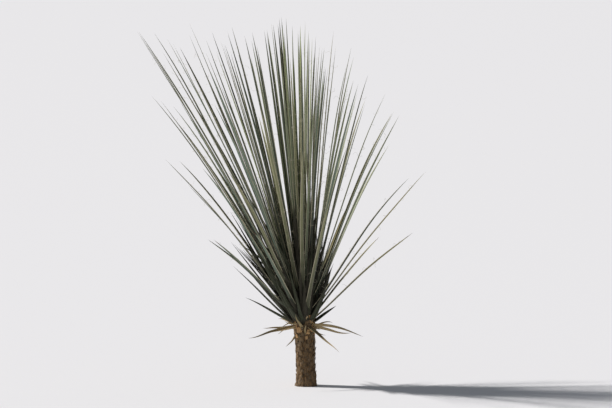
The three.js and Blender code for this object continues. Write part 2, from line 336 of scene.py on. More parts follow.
def stem_radius(height):
    """Height runs up the stem's axis from the crown's foot, so it is negative on the bare stem."""
    if height > 0:
        return lerp(NECK_RADIUS, TIP_RADIUS, height / CROWN_HEIGHT)
    flare = (FOOT_RADIUS - WAIST_RADIUS) * math.exp(-(height + CROWN_FOOT) / FOOT_FLARE_HEIGHT)
    shoulder = (NECK_RADIUS - WAIST_RADIUS) * (1 + height / CROWN_FOOT) ** 2
    return WAIST_RADIUS + flare + shoulder


def stem_axis_x(z):
    """The axis bends over from upright at the ground, and is straight from the crown's foot up."""
    slope = math.tan(math.radians(CROWN_TILT))
    if z < CROWN_FOOT:
        return -slope * z**2 / (2 * CROWN_FOOT)
    return -slope * (z - CROWN_FOOT / 2)


def crown_matrix():
    """From the crown's own frame, upright on its foot, to the plant's."""
    tilt = Matrix.Rotation(-math.radians(CROWN_TILT), 4, "Y")
    return Matrix.Translation((stem_axis_x(CROWN_FOOT), 0, CROWN_FOOT)) @ tilt


def root_on_stem(azimuth, height):
    """Where a leaf's midrib starts, a little inside the stem."""
    out = stem_radius(height) - ROOT_SINK
    angle = math.radians(azimuth)
    return Vector((out * math.cos(angle), out * math.sin(angle), height))


def reach(height, lean, leftness):
    """How long a leaf may be before its tip stands higher than the plant."""
    from_upright = math.radians(lean + CROWN_TILT * leftness)
    return (PLANT_HEIGHT - CROWN_FOOT - height) / math.cos(from_upright)


def crowded(azimuth):
    """Leaves stand closer together at the left, and somewhat at the right, than front and back."""
    angle = math.radians(azimuth)
    to_the_left = azimuth + CROWDED_TO_THE_LEFT * math.sin(angle)
    return to_the_left - CROWDED_TO_BOTH_SIDES * math.sin(2 * angle)


def nested(leaves, azimuth, lean):
    """No leaf leans out through those a turn below it."""
    below = [leaf for leaf in leaves if abs(azimuth - 360 - leaf["azimuth"]) < NEST_ANGLE]
    return min([lean] + [leaf["lean"] - NEST_LEAN for leaf in below])


def grow_spiral():
    """The green leaves on one rising spiral, each a step further round and higher than the last."""
    draws = seeded_draws(SPIRAL_SEED)
    leaves = []
    turn = 0
    while turn < SPIRAL_TURNS:
        age = 1 - turn / (SPIRAL_TURNS + 1)
        step = 1 / over_age(age, LEAVES_PER_TURN)
        azimuth = crowded(360 * (turn + around(draws, AZIMUTH_SPREAD * step)))
        height = SPIRAL_PITCH * turn
        leftness = -math.cos(math.radians(azimuth))
        lean = over_age(age, LEAF_LEAN) + leftness * over_age(age, MORE_LEAN_TO_THE_LEFT)
        lean = nested(leaves, azimuth, lean + around(draws, LEAN_SPREAD * age))
        grown = over_age(age, LEAF_LENGTH) * (1 + leftness * over_age(age, LONGER_TO_THE_LEFT))
        length = min(grown, reach(height, lean, leftness)) * (1 - LENGTH_SPREAD * next(draws))
        leaves.append({
            "age": age,
            "azimuth": azimuth,
            "height": height,
            "lean": lean,
            "length": length,
            "flare": over_age(age, ROOT_FLARE),
            "droop": over_age(age, LEAF_DROOP) + around(draws, DROOP_SPREAD * age),
            "sway": around(draws, SWAY_SPREAD),
            "twist": around(draws, TWIST_SPREAD),
            "width": over_age(age, LEAF_WIDTH),
        })
        turn += step
    return leaves


def grow_slim_leaves(leaves, draws):
    """Slimmer leaves midway between neighbours on the spiral, shorter than both."""
    slim = []
    for before, after in zip(leaves, leaves[1:]):
        sideness = abs(math.cos(math.radians(before["azimuth"])))
        if next(draws) > SLIM_SHARE * sideness**SLIM_SIDENESS:
            continue
        leaf = {key: (before[key] + after[key]) / 2 for key in before}
        leaf["length"] = min(before["length"], after["length"]) * lerp(*SLIM_LENGTH, next(draws))
        leaf["twist"] = around(draws, TWIST_SPREAD)
        leaf["width"] *= SLIM_WIDTH_SHARE
        slim.append(leaf)
    return slim


def grow_heart():
    """The youngest leaves, round and on the growing tip."""
    draws = seeded_draws(HEART_SEED)
    height = CROWN_HEIGHT - ROOT_SINK + HEART_ROOT
    leaves = []
    for i in range(HEART_LEAVES):
        share = i / HEART_LEAVES
        angle = math.radians(GOLDEN_ANGLE * i)
        out = BUD_RADIUS / 2 * math.sqrt(share)
        leaves.append({
            "age": 0,
            "azimuth": GOLDEN_ANGLE * i,
            "root": Vector((out * math.cos(angle), out * math.sin(angle), height)),
            "lean": HEART_LEAN * share,
            "length": reach(height, 0, 0) * (1 - HEART_LENGTH_SPREAD * share * next(draws)),
            "flare": 0,
            "droop": 0,
            "sway": around(draws, SWAY_SPREAD),
            "twist": around(draws, TWIST_SPREAD),
            "width": HEART_WIDTH,
        })
    return leaves


def grow_dry_leaves():
    """Dead leaves that stick out or hang round the stem just under the crown."""
    draws = seeded_draws(DRY_SEED)
    leaves = []
    for i in range(DRY_LEAVES):
        leaves.append({
            "age": 1,
            "azimuth": 360 * (i + 0.5 + around(draws, DRY_AZIMUTH_SPREAD)) / DRY_LEAVES,
            "height": lerp(*DRY_HEIGHT, next(draws)),
            "lean": lerp(*DRY_LEAN, next(draws)),
            "length": lerp(*DRY_LENGTH, next(draws)),
            "flare": 0,
            "droop": lerp(*DRY_DROOP, next(draws)),
            "sway": lerp(*DRY_SWAY, next(draws)),
            "twist": lerp(*DRY_TWIST, next(draws)),
            "width": DRY_WIDTH,
        })
    return leaves


def grow_stubs():
    """What is left of broken leaves, from the crown's foot down."""
    draws = seeded_draws(STUB_SEED)
    leaves = []
    for i in range(STUBS):
        leaves.append({
            "age": 1,
            "azimuth": GOLDEN_ANGLE * i,
            "height": lerp(*STUB_HEIGHT, i / STUBS),
            "lean": lerp(*STUB_LEAN, next(draws)),
            "length": lerp(*STUB_LENGTH, next(draws)),
            "flare": 0,
            "droop": around(draws, STUB_BEND),
            "sway": around(draws, STUB_BEND),
            "twist": around(draws, STUB_BEND),
            "width": STUB_WIDTH,
        })
    return leaves


def grow_thatch():
    """Dead leaves among the green ones' bases; the longest stand nearly upright."""
    draws = seeded_draws(THATCH_SEED)
    leaves = []
    for i in range(THATCH_LEAVES):
        share = next(draws)
        leftness = -math.cos(math.radians(GOLDEN_ANGLE * i))
        lean = lerp(*THATCH_LEAN, math.sqrt(share)) + leftness * THATCH_MORE_LEAN_TO_THE_LEFT
        longer = 1 + leftness * THATCH_LONGER_TO_THE_LEFT
        leaves.append({
            "age": THATCH_AGE,
            "azimuth": GOLDEN_ANGLE * i,
            "height": lerp(*THATCH_HEIGHT, (i / THATCH_LEAVES) ** THATCH_CROWDING),
            "lean": lean + around(draws, THATCH_LEAN_SPREAD),
            "length": lerp(*THATCH_LENGTH, share) * longer,
            "flare": THATCH_FLARE,
            "droop": around(draws, THATCH_SWAY),
            "sway": around(draws, THATCH_SWAY),
            "twist": around(draws, THATCH_TWIST),
            "width": THATCH_WIDTH,
        })
    return leaves


def give_finish(leaves, draws, wave_angle=WAVE_ANGLE):
    """Each leaf's own width, waves and colour number."""
    for number, leaf in enumerate(leaves):
        leaf["seed"] = number
        leaf["width"] *= 1 + around(draws, WIDTH_SPREAD)
        leaf["wave"] = wave_angle * (YOUNGEST_WAVE + leaf["age"])
        leaf["waves"] = lerp(*WAVES, next(draws))
        leaf["phase"] = next(draws)
        left = max(0, -math.cos(math.radians(leaf["azimuth"])))
        leaf["tone"] = TONES.index(dealt_tone(leaf["age"], left, next(draws)))


def dealt_tone(age, left, draw):
    """A leaf's colour: mostly deep green at the left, and blue green on the oldest leaves there."""
    # Deep green is partly a leaf tone and partly painted shade: the left and the young leaves take
    # most
    more_painted_shade = MORE_PAINTED_SHADE_AT_THE_LEFT * age**2 * (1 - age) * left
    more_blue = MORE_BLUE_GREEN_AT_THE_LEFT * age**3 * left
    shares = {
        "Dark Green And Shade": lerp(*DARK_GREEN_AND_SHADE_SHARE, age) + more_painted_shade,
        "Young Green": max(0, lerp(*YOUNG_GREEN_SHARE, age)),
        "Blue Green": BLUE_GREEN_SHARE + more_blue,
        "Yellowing": max(0, lerp(*YELLOWING_SHARE, age)) * (1 - LESS_YELLOWING_AT_THE_LEFT * left),
        "Olive Green": lerp(*OLIVE_GREEN_SHARE, age),
    }
    for tone, share in shares.items():
        draw -= share
        if draw < 0:
            return tone
    return "Grey Green"


def midrib(leaf):
    """The frames along a leaf: share of its length, point, side and upper face."""
    frames = []
    point = leaf["root"].copy() if "root" in leaf else root_on_stem(leaf["azimuth"], leaf["height"])
    for i in range(MIDRIB_STEPS + 1):
        share = i / MIDRIB_STEPS
        flare = leaf["flare"] * math.exp(-share * leaf["length"] / FLARE_LENGTH)
        swing = 2 * math.pi * (leaf["phase"] + share * leaf["waves"])
        wave = leaf["wave"] * share
        lean = leaf["lean"] + flare + leaf["droop"] * share**2 + wave * math.sin(swing)
        azimuth = leaf["azimuth"] + leaf["sway"] * share**2 + wave * math.cos(swing)
        lean = math.radians(lean)
        azimuth = math.radians(azimuth)
        out = math.sin(lean)
        along = Vector((out * math.cos(azimuth), out * math.sin(azimuth), math.cos(lean)))
        side = Vector((-math.sin(azimuth), math.cos(azimuth), 0))
        side = Matrix.Rotation(math.radians(leaf["twist"] * share), 3, along) @ side
        frames.append((share, point.copy(), side, along.cross(side)))
        point += along * leaf["length"] / MIDRIB_STEPS
    return frames


# The values that the points of a midrib carry
LINE_VALUES = ("share", "side", "upper", "length", "width", "tone", "seed")


def mesh_with_values(name, points, edges, values):
    """A mesh of loose points and edges that carries named values, one for each point."""
    mesh = bpy.data.meshes.new(name)
    mesh.from_pydata(points, edges, [])
    for key, items in values.items():
        is_vector = isinstance(items[0], Vector)
        layer = mesh.attributes.new(key, "FLOAT_VECTOR" if is_vector else "FLOAT", "POINT")
        if is_vector:
            layer.data.foreach_set("vector", [number for item in items for number in item])
        else:
            layer.data.foreach_set("value", items)
    return mesh


def midrib_mesh(name, leaves):
    """One chain of points up each leaf, with the leaf's directions and sizes on it."""
    to_world = crown_matrix()
    turn = to_world.to_3x3()
    points = []
    edges = []
    values = {key: [] for key in LINE_VALUES}
    for leaf in leaves:
        frames = midrib(leaf)
        for station in range(BLADE_STATIONS + 1):
            place = (station / BLADE_STATIONS) ** STATION_CROWDING
            share, point, side, upper = frames[round(MIDRIB_STEPS * place)]
            if station:
                edges.append((len(points) - 1, len(points)))
            points.append(to_world @ point)
            values["share"].append(share)
            values["side"].append(turn @ side)
            values["upper"].append(turn @ upper)
            for key in ("length", "width", "tone", "seed"):
                values[key].append(leaf[key])
    return mesh_with_values(name, points, edges, values)


# Helpers for node trees

SOCKETS = {float: "NodeSocketFloat", int: "NodeSocketInt", str: "NodeSocketMaterial"}


def new_tree(name, inputs):
    """A geometry tree with an input for each named size, and one for each material, given as ""."""
    tree = bpy.data.node_groups.new(name, "GeometryNodeTree")
    tree.interface.new_socket("Geometry", in_out="INPUT", socket_type="NodeSocketGeometry")
    tree.interface.new_socket("Geometry", in_out="OUTPUT", socket_type="NodeSocketGeometry")
    for key, value in inputs.items():
        socket = tree.interface.new_socket(key, in_out="INPUT", socket_type=SOCKETS[type(value)])
        if not isinstance(value, str):
            socket.default_value = value
    given = tree.nodes.new("NodeGroupInput").outputs
    return tree, given


def feed(tree, socket, value):
    """Links another socket to this one, or sets its plain value."""
    if isinstance(value, bpy.types.NodeSocket):
        tree.links.new(value, socket)
    else:
        socket.default_value = value


def add_node(tree, kind, fed=None, **settings):
    """Adds a node, makes its settings, and feeds its inputs with sockets or plain values."""
    node = tree.nodes.new(kind)
    for key, value in settings.items():
        setattr(node, key, value)
    for key, value in (fed or {}).items():
        feed(tree, node.inputs[key], value)
    return node


def add(tree, kind, fed=None, **settings):
    """Adds a node and gives its first output."""
    return add_node(tree, kind, fed, **settings).outputs[0]


def calc(tree, operation, *values):
    return add(tree, "ShaderNodeMath", dict(enumerate(values)), operation=operation)


def times(tree, first, second):
    return calc(tree, "MULTIPLY", first, second)


def ranged(tree, value, low, high, at_low=0.0, at_high=1.0, **settings):
    """A value between low and high, made one between at_low and at_high."""
    fed = {0: value, 1: low, 2: high, 3: at_low, 4: at_high}
    return add(tree, "ShaderNodeMapRange", fed, **settings)


def noise(tree, vector, scale, detail, output=0):
    fed = {"Vector": vector, "Scale": scale, "Detail": detail}
    return add_node(tree, "ShaderNodeTexNoise", fed).outputs[output]


def vector_calc(tree, operation, *values):
    return add(tree, "ShaderNodeVectorMath", dict(enumerate(values)), operation=operation)


def scaled(tree, vector, by):
    return add(tree, "ShaderNodeVectorMath", {0: vector, "Scale": by}, operation="SCALE")


def named(tree, name, data_type="FLOAT"):
    return add(tree, "GeometryNodeInputNamedAttribute", {"Name": name}, data_type=data_type)


def named_vector(tree, name):
    return named(tree, name, "FLOAT_VECTOR")


def stored(tree, geometry, name, value, data_type="FLOAT_VECTOR"):
    fed = {"Geometry": geometry, "Name": name, "Value": value}
    return add(tree, "GeometryNodeStoreNamedAttribute", fed, data_type=data_type, domain="POINT")


def position(tree):
    return add(tree, "GeometryNodeInputPosition")


def parts_of(tree, vector):
    node = tree.nodes.new("ShaderNodeSeparateXYZ")
    tree.links.new(vector, node.inputs[0])
    return node.outputs


def swept(tree, line_mesh, points):
    """A round section of unit size along lines, with its own place and the line's on each point."""
    line = add(tree, "GeometryNodeMeshToCurve", {"Mesh": line_mesh})
    line = stored(tree, line, "centre", position(tree))
    ring = add(tree, "GeometryNodeCurvePrimitiveCircle", {"Resolution": points, "Radius": 1.0})
    ring = stored(tree, ring, "section", position(tree))
    fed = {"Curve": line, "Profile Curve": ring, "Fill Caps": True}
    return add(tree, "GeometryNodeCurveToMesh", fed)


def smoothed(tree, geometry):
    fed = {0: geometry, "Shade Smooth": True}
    return add(tree, "GeometryNodeSetShadeSmooth", fed, domain="FACE")


def painted(tree, geometry, material, selection=True):
    fed = {"Geometry": geometry, "Selection": selection, "Material": material}
    return add(tree, "GeometryNodeSetMaterial", fed)


def end_tree(tree, geometry):
    add_node(tree, "NodeGroupOutput", {0: geometry})


def grown_by(tree, mesh, name, values):
    """Runs the tree on the mesh with its values, and keeps what comes out as a new plain piece."""
    carrier = bpy.data.objects.new(name + "_lines", mesh)
    bpy.context.scene.collection.objects.link(carrier)
    modifier = carrier.modifiers.new("grown", "NODES")
    modifier.node_group = tree
    for item in tree.interface.items_tree:
        if item.item_type == "SOCKET" and item.in_out == "INPUT" and item.name in values:
            modifier[item.identifier] = values[item.name]
    depsgraph = bpy.context.evaluated_depsgraph_get()
    made = bpy.data.meshes.new_from_object(carrier.evaluated_get(depsgraph))
    bpy.data.objects.remove(carrier)
    for key in [layer.name for layer in made.attributes]:
        if key in (*LINE_VALUES, "centre", "section"):
            made.attributes.remove(made.attributes[key])
    piece = bpy.data.objects.new(name, made)
    bpy.context.scene.collection.objects.link(piece)
    return piece


# The leaf blade

def half_width(tree, sizes):
    """Half the blade's width: wide where it clasps the stem, then even, then drawn to a point.

    The second value is the width without the clasp.
    """
    share = named(tree, "share")
    taper = calc(tree, "SUBTRACT", 1.0, calc(tree, "POWER", share, sizes["Tip Sharpness"]))
    from_root = times(tree, share, named(tree, "length"))
    clasps = calc(tree, "DIVIDE", from_root, times(tree, sizes["Clasp Length"], -1.0))
    spread = calc(tree, "MULTIPLY_ADD", calc(tree, "EXPONENT", clasps), sizes["Clasp Spread"], 1.0)
    tapered = times(tree, named(tree, "width"), taper)
    return times(tree, times(tree, tapered, spread), 0.5), tapered


def blade_tree():
    """Leaf blades along lines: a channel above, a rounded keel below and a thin pale edge."""
    inputs = {
        "Clasp Spread": CLASP_SPREAD,
        "Clasp Length": CLASP_LENGTH,
        "Tip Sharpness": TIP_SHARPNESS,
        "Channel": CHANNEL,
        "Keel": KEEL,
        "Base Length": BASE_LENGTH,
        "Spine Length": SPINE_LENGTH,
        "Pale Edge": "",
        "Base": "",
        "Spine": "",
    }
    inputs.update({tone: "" for tone in TONES})
    tree, sizes = new_tree("leaf blades", inputs)
    blades = swept(tree, sizes["Geometry"], SECTION_POINTS)

    half, tapered = half_width(tree, sizes)
    section = parts_of(tree, named_vector(tree, "section"))
    spaced = calc(tree, "POWER", calc(tree, "ABSOLUTE", section["X"]), EDGE_CROWDING)
    across = times(tree, spaced, calc(tree, "SIGN", section["X"]))
    squared = times(tree, across, across)
    channel = times(tree, times(tree, tapered, sizes["Channel"]), squared)
    below = calc(tree, "LESS_THAN", section["Y"], UNDERSIDE)
    body = times(tree, times(tree, tapered, sizes["Keel"]), below)
    keel = times(tree, body, calc(tree, "SUBTRACT", 1.0, squared))
    above = calc(tree, "SUBTRACT", channel, keel)
    sideways = times(tree, across, half)
    out = scaled(tree, named_vector(tree, "side"), sideways)
    up = scaled(tree, named_vector(tree, "upper"), above)
    offset = vector_calc(tree, "ADD", out, up)
    place = vector_calc(tree, "ADD", offset, named_vector(tree, "centre"))

    from_root = times(tree, named(tree, "share"), named(tree, "length"))
    from_tip = calc(tree, "SUBTRACT", named(tree, "length"), from_root)
    fed = {0: sideways, 1: from_root, 2: named(tree, "seed")}
    leaf_place = add(tree, "ShaderNodeCombineXYZ", fed)
    blades = stored(tree, blades, "leaf_place", leaf_place)
    blades = stored(tree, blades, "edge", across, "FLOAT")
    blades = add(tree, "GeometryNodeSetPosition", {"Geometry": blades, "Position": place})
    for number, tone in enumerate(TONES):
        is_tone = calc(tree, "COMPARE", named(tree, "tone"), float(number), 0.5)
        blades = painted(tree, blades, sizes[tone], is_tone)
    near_edge = calc(tree, "ABSOLUTE", named(tree, "edge"))
    is_edge = calc(tree, "GREATER_THAN", near_edge, PALE_FROM)
    blades = painted(tree, blades, sizes["Pale Edge"], is_edge)
    # Painted shade: a dark band at each leaf's root, each leaf's band of its own length
    own_share = calc(tree, "FRACT", times(tree, named(tree, "seed"), GOLDEN_SHARE))
    base_length = times(tree, sizes["Base Length"], calc(tree, "ADD", own_share, SHORTEST_BASE))
    is_painted_shade_base = calc(tree, "LESS_THAN", from_root, base_length)
    blades = painted(tree, blades, sizes["Base"], is_painted_shade_base)
    is_spine = calc(tree, "LESS_THAN", from_tip, sizes["Spine Length"])
    blades = painted(tree, blades, sizes["Spine"], is_spine)
    blades = smoothed(tree, blades)
    is_rim = calc(tree, "GREATER_THAN", near_edge, SHARP_FROM)
    fed = {0: blades, "Selection": is_rim, "Shade Smooth": False}
    blades = add(tree, "GeometryNodeSetShadeSmooth", fed, domain="EDGE")
    fed = {"Geometry": blades, "Distance": MERGE_DISTANCE}
    blades = add(tree, "GeometryNodeMergeByDistance", fed)
    end_tree(tree, add(tree, "GeometryNodeRealizeInstances", {"Geometry": blades}))
    return tree


def thread_tree():
    """Fine curled threads that peel off both edges of the leaves."""
    inputs = {
        "Clasp Spread": CLASP_SPREAD,
        "Clasp Length": CLASP_LENGTH,
        "Tip Sharpness": TIP_SHARPNESS,
        "Channel": CHANNEL,
        "Spacing": THREAD_SPACING,
        "Kept Share": THREAD_SHARE,
        "Radius": THREAD_RADIUS,
        "Curl": THREAD_CURL,
        "Rise": THREAD_RISE,
        "Seed": THREAD_SEED,
        "Thread": "",
    }
    tree, sizes = new_tree("edge threads", inputs)
    line = add(tree, "GeometryNodeMeshToCurve", {"Mesh": sizes["Geometry"]})
    half, tapered = half_width(tree, sizes)
    up = scaled(tree, named_vector(tree, "upper"), times(tree, tapered, sizes["Channel"]))
    edges = tree.nodes.new("GeometryNodeJoinGeometry")
    for start in (-THREAD_START, THREAD_START):
        out = scaled(tree, named_vector(tree, "side"), times(tree, half, start))
        offset = vector_calc(tree, "ADD", out, up)
        edge = add(tree, "GeometryNodeSetPosition", {"Geometry": line, "Offset": offset})
        tree.links.new(edge, edges.inputs[0])
    fed = {"Curve": edges.outputs[0], "Length": sizes["Spacing"]}
    spots = add(tree, "GeometryNodeCurveToPoints", fed, mode="LENGTH")
    fed = {"Probability": sizes["Kept Share"], "Seed": sizes["Seed"]}
    drawn = add_node(tree, "FunctionNodeRandomValue", fed, data_type="BOOLEAN").outputs[3]
    in_reach = calc(tree, "COMPARE", named(tree, "share"), 0.5, THREAD_REACH)
    kept = add(tree, "FunctionNodeBooleanMath", {0: drawn, 1: in_reach}, operation="AND")
    curl = curled_thread(tree, sizes)
    turned = random_vector(tree, (0, 0, 0), (2 * math.pi,) * 3, THREAD_TURN_SEED)
    size = random_vector(tree, *THREAD_SIZE, THREAD_SIZE_SEED)
    fed = {"Points": spots, "Selection": kept, "Instance": curl, "Rotation": turned, "Scale": size}
    threads = add(tree, "GeometryNodeInstanceOnPoints", fed)
    threads = add(tree, "GeometryNodeRealizeInstances", {"Geometry": threads})
    fed = {"Resolution": THREAD_SIDES, "Radius": sizes["Radius"]}
    ring = add(tree, "GeometryNodeCurvePrimitiveCircle", fed)
    fed = {"Curve": threads, "Profile Curve": ring, "Fill Caps": True}
    threads = add(tree, "GeometryNodeCurveToMesh", fed)
    end_tree(tree, painted(tree, threads, sizes["Thread"]))
    return tree


def curled_thread(tree, sizes):
    """One thread as an opened coil that starts at the origin."""
    root, end = THREAD_OPENING
    curl = add(tree, "GeometryNodeCurveSpiral", {
        "Resolution": THREAD_POINTS,
        "Rotations": THREAD_ROUNDS,
        "Start Radius": times(tree, sizes["Curl"], root),
        "End Radius": times(tree, sizes["Curl"], end),
        "Height": sizes["Rise"],
    })
    to_start = add(tree, "ShaderNodeCombineXYZ", {0: times(tree, sizes["Curl"], -root)})
    return add(tree, "GeometryNodeSetPosition", {"Geometry": curl, "Offset": to_start})


def random_vector(tree, low, high, seed):
    fed = {0: low, 1: high, "Seed": seed}
    return add(tree, "FunctionNodeRandomValue", fed, data_type="FLOAT_VECTOR")


# The stem

def stem_lines():
    """The stem's axis as a chain of points, closer together where the bark shows."""
    heights = []
    z = 0.0
    while z < CROWN_FOOT + CROWN_HEIGHT:
        heights.append(z)
        z += BARK_RING_STEP if z < CROWN_FOOT + BARK_TOP else HIDDEN_RING_STEP
    heights.append(CROWN_FOOT + CROWN_HEIGHT)
    points = [(stem_axis_x(z), 0, z) for z in heights]
    edges = [(i, i + 1) for i in range(len(points) - 1)]
    radii = [stem_radius(z - CROWN_FOOT) for z in heights]
    return mesh_with_values("stem_lines", points, edges, {"width": radii})


def bark_tree():
    """The stem's surface: cracked plates, long furrows and fine roughness."""
    inputs = {
        "Sides": BARK_SIDES,
        "Plate Size": PLATE_SIZE,
        "Crack Depth": CRACK_DEPTH,
        "Furrow Depth": FURROW_DEPTH,
        "Roughness Depth": ROUGHNESS_DEPTH,
        "Bark": "",
    }
    tree, sizes = new_tree("bark", inputs)
    stem = swept(tree, sizes["Geometry"], sizes["Sides"])
    out = named_vector(tree, "section")
    round_place = scaled(tree, out, named(tree, "width"))
    centre = named_vector(tree, "centre")
    smooth = vector_calc(tree, "ADD", round_place, centre)

    plates = vector_calc(tree, "MULTIPLY", smooth, (1.0, 1.0, PLATE_DRAWN_OUT))
    plates = vector_calc(tree, "DIVIDE", plates, sizes["Plate Size"])
    plates = vector_calc(tree, "ADD", plates, noise(tree, plates, PLATE_SHAKE, 2.0, "Color"))
    fed = {"Vector": plates, "Scale": 1.0}
    to_crack = add(tree, "ShaderNodeTexVoronoi", fed, feature="DISTANCE_TO_EDGE")
    crack = ranged(tree, to_crack, 0.0, CRACK_WIDTH, 1.0, 0.0, interpolation_type="SMOOTHSTEP")
    furrows = vector_calc(tree, "MULTIPLY", smooth, (1.0, 1.0, FURROW_DRAWN_OUT))
    furrow = calc(tree, "SUBTRACT", noise(tree, furrows, FURROW_WAVES, 2.0), 0.5)
    furrow = calc(tree, "SUBTRACT", FURROW_SWING, calc(tree, "ABSOLUTE", furrow))
    rough = calc(tree, "SUBTRACT", noise(tree, smooth, ROUGHNESS_WAVES, 3.0), 0.5)

    relief = times(tree, crack, times(tree, sizes["Crack Depth"], -1.0))
    furrow_scale = calc(tree, "DIVIDE", sizes["Furrow Depth"], -FURROW_SWING)
    relief = calc(tree, "MULTIPLY_ADD", furrow, furrow_scale, relief)
    rough_scale = times(tree, sizes["Roughness Depth"], 2.0)
    relief = calc(tree, "MULTIPLY_ADD", rough, rough_scale, relief)
    radius = calc(tree, "ADD", named(tree, "width"), relief)
    place = vector_calc(tree, "ADD", scaled(tree, out, radius), centre)
    stem = add(tree, "GeometryNodeSetPosition", {"Geometry": stem, "Position": place})
    stem = add(tree, "GeometryNodeRealizeInstances", {"Geometry": smoothed(tree, stem)})
    end_tree(tree, painted(tree, stem, sizes["Bark"]))
    return tree


def leaf_base_points(draws):
    """Where the worn leaf bases sit on the bare stem, each a golden angle round from the last."""
    points = []
    values = {"outward": [], "size": [], "lean": [], "tone": []}
    height = SCALE_ROWS_TOP
    number = 0
    while height > SCALE_ROWS_FOOT:
        angle = math.radians(GOLDEN_ANGLE * number) + around(draws, SCALE_AZIMUTH_SPREAD)
        wear = (SCALE_ROWS_TOP - height) / (SCALE_ROWS_TOP - SCALE_ROWS_FOOT)
        z = CROWN_FOOT + height
        out = stem_radius(height) - SCALE_SINK
        points.append((stem_axis_x(z) + out * math.cos(angle), out * math.sin(angle), z))
        values["outward"].append(Vector((math.cos(angle), math.sin(angle), 0)))
        size = lerp(*SCALE_SIZE, wear**SCALE_WEAR) * (1 + around(draws, SCALE_SIZE_SPREAD))
        lean = lerp(*SCALE_LEAN, min(1, SCALE_FLATTENING * wear)) + around(draws, SCALE_LEAN_SPREAD)
        values["size"].append(size)
        values["lean"].append(math.radians(lean))
        values["tone"].append(1.0 if next(draws) < lerp(*WORN_SHARE, wear) else 0.0)
        height -= SCALE_STEP
        number += 1
    return mesh_with_values("leaf_base_points", points, [], values)


def leaf_base_tree():
    """A worn leaf base at each point: a thin scale with a torn upper edge, bent round the stem."""
    inputs = {
        "Width": SCALE_WIDTH,
        "Height": SCALE_HEIGHT,
        "Thickness": SCALE_THICKNESS,
        "Fresh": "",
        "Worn": "",
    }
    tree, sizes = new_tree("leaf bases", inputs)
    fed = {0: sizes["Width"], 1: sizes["Thickness"], 2: sizes["Height"]}
    size = add(tree, "ShaderNodeCombineXYZ", fed)
    across, through, upward = SCALE_POINTS
    fed = {"Size": size, "Vertices X": across, "Vertices Y": through, "Vertices Z": upward}
    scale = add(tree, "GeometryNodeMeshCube", fed)
    x, y, z = parts_of(tree, position(tree))
    up = calc(tree, "ADD", calc(tree, "DIVIDE", z, sizes["Height"]), 0.5)
    narrowing = calc(tree, "MULTIPLY_ADD", up, -SCALE_NARROWING, 1.0)
    thinning = calc(tree, "MULTIPLY_ADD", up, -SCALE_THINNING, 1.0)
    wrap = times(tree, times(tree, x, x), -SCALE_WRAP)
    torn = calc(tree, "SUBTRACT", noise(tree, position(tree), TEAR_WAVES, 1.0), 0.5)
    torn = times(tree, times(tree, torn, up), TEAR_DEPTH)
    place = add(tree, "ShaderNodeCombineXYZ", {
        0: times(tree, x, narrowing),
        1: calc(tree, "ADD", times(tree, y, thinning), wrap),
        2: calc(tree, "ADD", times(tree, up, sizes["Height"]), torn),
    })
    scale = add(tree, "GeometryNodeSetPosition", {"Geometry": scale, "Position": place})
    fed = {"Vector": named_vector(tree, "outward")}
    facing = add(tree, "FunctionNodeAlignRotationToVector", fed, axis="Y", pivot_axis="Z")
    lean = add(tree, "ShaderNodeCombineXYZ", {0: times(tree, named(tree, "lean"), -1.0)})
    fed = {0: facing, 1: lean}
    leaned = add(tree, "FunctionNodeRotateRotation", fed, rotation_space="LOCAL")
    fed = {
        "Points": sizes["Geometry"],
        "Instance": scale,
        "Rotation": leaned,
        "Scale": named(tree, "size"),
    }
    scales = add(tree, "GeometryNodeInstanceOnPoints", fed)
    scales = add(tree, "GeometryNodeRealizeInstances", {"Geometry": scales})
    scales = painted(tree, scales, sizes["Fresh"])
    is_worn = calc(tree, "GREATER_THAN", named(tree, "tone"), 0.5)
    end_tree(tree, painted(tree, scales, sizes["Worn"], is_worn))
    return tree


# Materials

def colour(code):
    """The plain colour of a six-figure code, as light values."""
    steps = [int(code[i:i + 2], 16) / 255 for i in (0, 2, 4)]
    light = [s / 12.92 if s < 0.04045 else ((s + 0.055) / 1.055) ** 2.4 for s in steps]
    return (*light, 1.0)


def new_effect(name, inputs, outputs):
    """A shader group with named inputs and outputs."""
    group = bpy.data.node_groups.new(name, "ShaderNodeTree")
    for key, value in inputs.items():
        if isinstance(value, float):
            kind = "NodeSocketFloat"
        else:
            kind = "NodeSocketColor" if len(value) == 4 else "NodeSocketVector"
        socket = group.interface.new_socket(key, in_out="INPUT", socket_type=kind)
        socket.default_value = value
    for key, kind in outputs.items():
        group.interface.new_socket(key, in_out="OUTPUT", socket_type=kind)
    given = group.nodes.new("NodeGroupInput").outputs
    result = group.nodes.new("NodeGroupOutput").inputs
    return group, given, result


def mixed(tree, share, first, second, blend="MIX"):
    """Two colours mixed. A Mix node takes them at inputs 6 and 7, and its output 2 is theirs."""
    node = tree.nodes.new("ShaderNodeMix")
    node.data_type = "RGBA"
    node.blend_type = blend
    feed(tree, node.inputs[0], share)
    feed(tree, node.inputs[6], first)
    feed(tree, node.inputs[7], second)
    return node.outputs[2]


